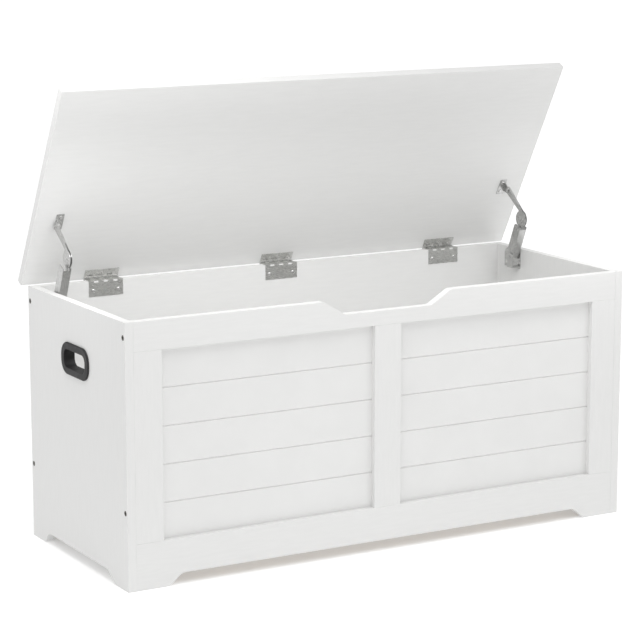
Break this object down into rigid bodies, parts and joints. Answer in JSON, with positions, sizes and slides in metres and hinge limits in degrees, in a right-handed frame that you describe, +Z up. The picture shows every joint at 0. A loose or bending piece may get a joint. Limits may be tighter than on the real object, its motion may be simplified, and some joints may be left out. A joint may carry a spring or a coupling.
{
  "type": "storage bench",
  "caption": "Lift-lid storage chest that serves as a bench, with arched feet, a framed planked front, cut-out end grips, wrap-over hinges and sprung lid stays, modelled with its lid open",
  "frame": {"origin": "on the floor, under the middle of the bounding box of the open bench", "axes": "+X along the bench, to the right of someone facing its front; +Y from the front to the back; +Z up"},
  "size_m": [1, 0.4112, 0.8015],
  "materials": {
    "white_board": "white satin facing on chipboard",
    "white_planks": "white satin paint on grooved fibreboard",
    "raw_pine": "planed, bare",
    "beech_dowel": "fluted, bare",
    "dark_screw": "dark, satin",
    "black_plastic": "fine moulded grain",
    "nickel_hinge": "nickel-plated, satin",
    "nickel_screw": "nickel-plated",
    "nickel_stay": "nickel-plated, satin",
    "steel_rivet": "bright",
    "spring_steel": "oiled",
    "white_plastic": "moulded"
  },
  "bodies": {
    "carcass": {"side_panel_left": "white_board", "side_panel_right": "white_board", "back_panel": "white_board", "floor_board": "white_board", "floor_batten_front": "raw_pine", "floor_batten_back": "raw_pine", "floor_dowels": "beech_dowel", "front_top_rail": "white_board", "front_bottom_rail": "white_board", "front_stile_left": "white_board", "front_stile_right": "white_board", "front_centre_stile": "white_board", "front_panel_left": "white_planks", "front_panel_right": "white_planks", "front_frame_dowels": "beech_dowel", "side_screws_left": "dark_screw", "side_screws_right": "dark_screw", "hand_grip_left": "black_plastic", "hand_grip_right": "black_plastic", "grip_ring_left": "black_plastic", "grip_ring_right": "black_plastic", "hinge_back_leaf_left": "nickel_hinge", "hinge_back_leaf_centre": "nickel_hinge", "hinge_back_leaf_right": "nickel_hinge", "hinge_pin_left": "nickel_hinge", "hinge_pin_centre": "nickel_hinge", "hinge_pin_right": "nickel_hinge", "hinge_back_screws": "nickel_screw", "stay_foot_bracket_left": "nickel_stay", "stay_foot_rivet_left": "steel_rivet", "stay_foot_screws_left": "nickel_screw", "stay_foot_bracket_right": "nickel_stay", "stay_foot_rivet_right": "steel_rivet", "stay_foot_screws_right": "nickel_screw"},
    "lid": {"lid_board": "white_board", "hinge_lid_leaf_left": "nickel_hinge", "hinge_lid_leaf_centre": "nickel_hinge", "hinge_lid_leaf_right": "nickel_hinge", "hinge_lid_screws": "nickel_screw", "stay_head_bracket_left": "nickel_stay", "stay_head_rivet_left": "steel_rivet", "stay_head_screws_left": "nickel_screw", "stay_head_bracket_right": "nickel_stay", "stay_head_rivet_right": "steel_rivet", "stay_head_screws_right": "nickel_screw"},
    "stay_channel_left": {"stay_channel_left": "nickel_stay", "stay_spring_left": "spring_steel", "stay_plunger_left": "white_plastic"},
    "stay_arm_left": {"stay_arm_left": "nickel_stay", "stay_knee_rivet_left": "steel_rivet"},
    "stay_channel_right": {"stay_channel_right": "nickel_stay", "stay_spring_right": "spring_steel", "stay_plunger_right": "white_plastic"},
    "stay_arm_right": {"stay_arm_right": "nickel_stay", "stay_knee_rivet_right": "steel_rivet"}
  },
  "joints": [
    {"name": "lid_hinge", "type": "hinge", "parent": "carcass", "child": "lid", "pos_m": [0, 0.18875, 0.4431], "axis": [1, 0, 0], "range_deg": [0, 61]},
    {"name": "stay_channel_pivot_left", "type": "hinge", "parent": "carcass", "child": "stay_channel_left", "pos_m": [-0.4655, 0.10035, 0.43], "axis": [1, 0, 0], "range_deg": [0, 94.3]},
    {"name": "stay_arm_pivot_left", "type": "hinge", "parent": "lid", "child": "stay_arm_left", "pos_m": [-0.4632, 0.11941, 0.55582], "axis": [1, 0, 0], "range_deg": [-67.3, 0]},
    {"name": "stay_channel_pivot_right", "type": "hinge", "parent": "carcass", "child": "stay_channel_right", "pos_m": [0.4655, 0.10035, 0.43], "axis": [1, 0, 0], "range_deg": [0, 94.3]},
    {"name": "stay_arm_pivot_right", "type": "hinge", "parent": "lid", "child": "stay_arm_right", "pos_m": [0.4632, 0.11941, 0.55582], "axis": [1, 0, 0], "range_deg": [-67.3, 0]}
  ],
  "couplings": [
    {"joint": "stay_channel_pivot_left", "follows": "lid_hinge", "ratio": 1.5444},
    {"joint": "stay_arm_pivot_left", "follows": "lid_hinge", "ratio": -1.101},
    {"joint": "stay_channel_pivot_right", "follows": "lid_hinge", "ratio": 1.5444},
    {"joint": "stay_arm_pivot_right", "follows": "lid_hinge", "ratio": -1.101}
  ]
}
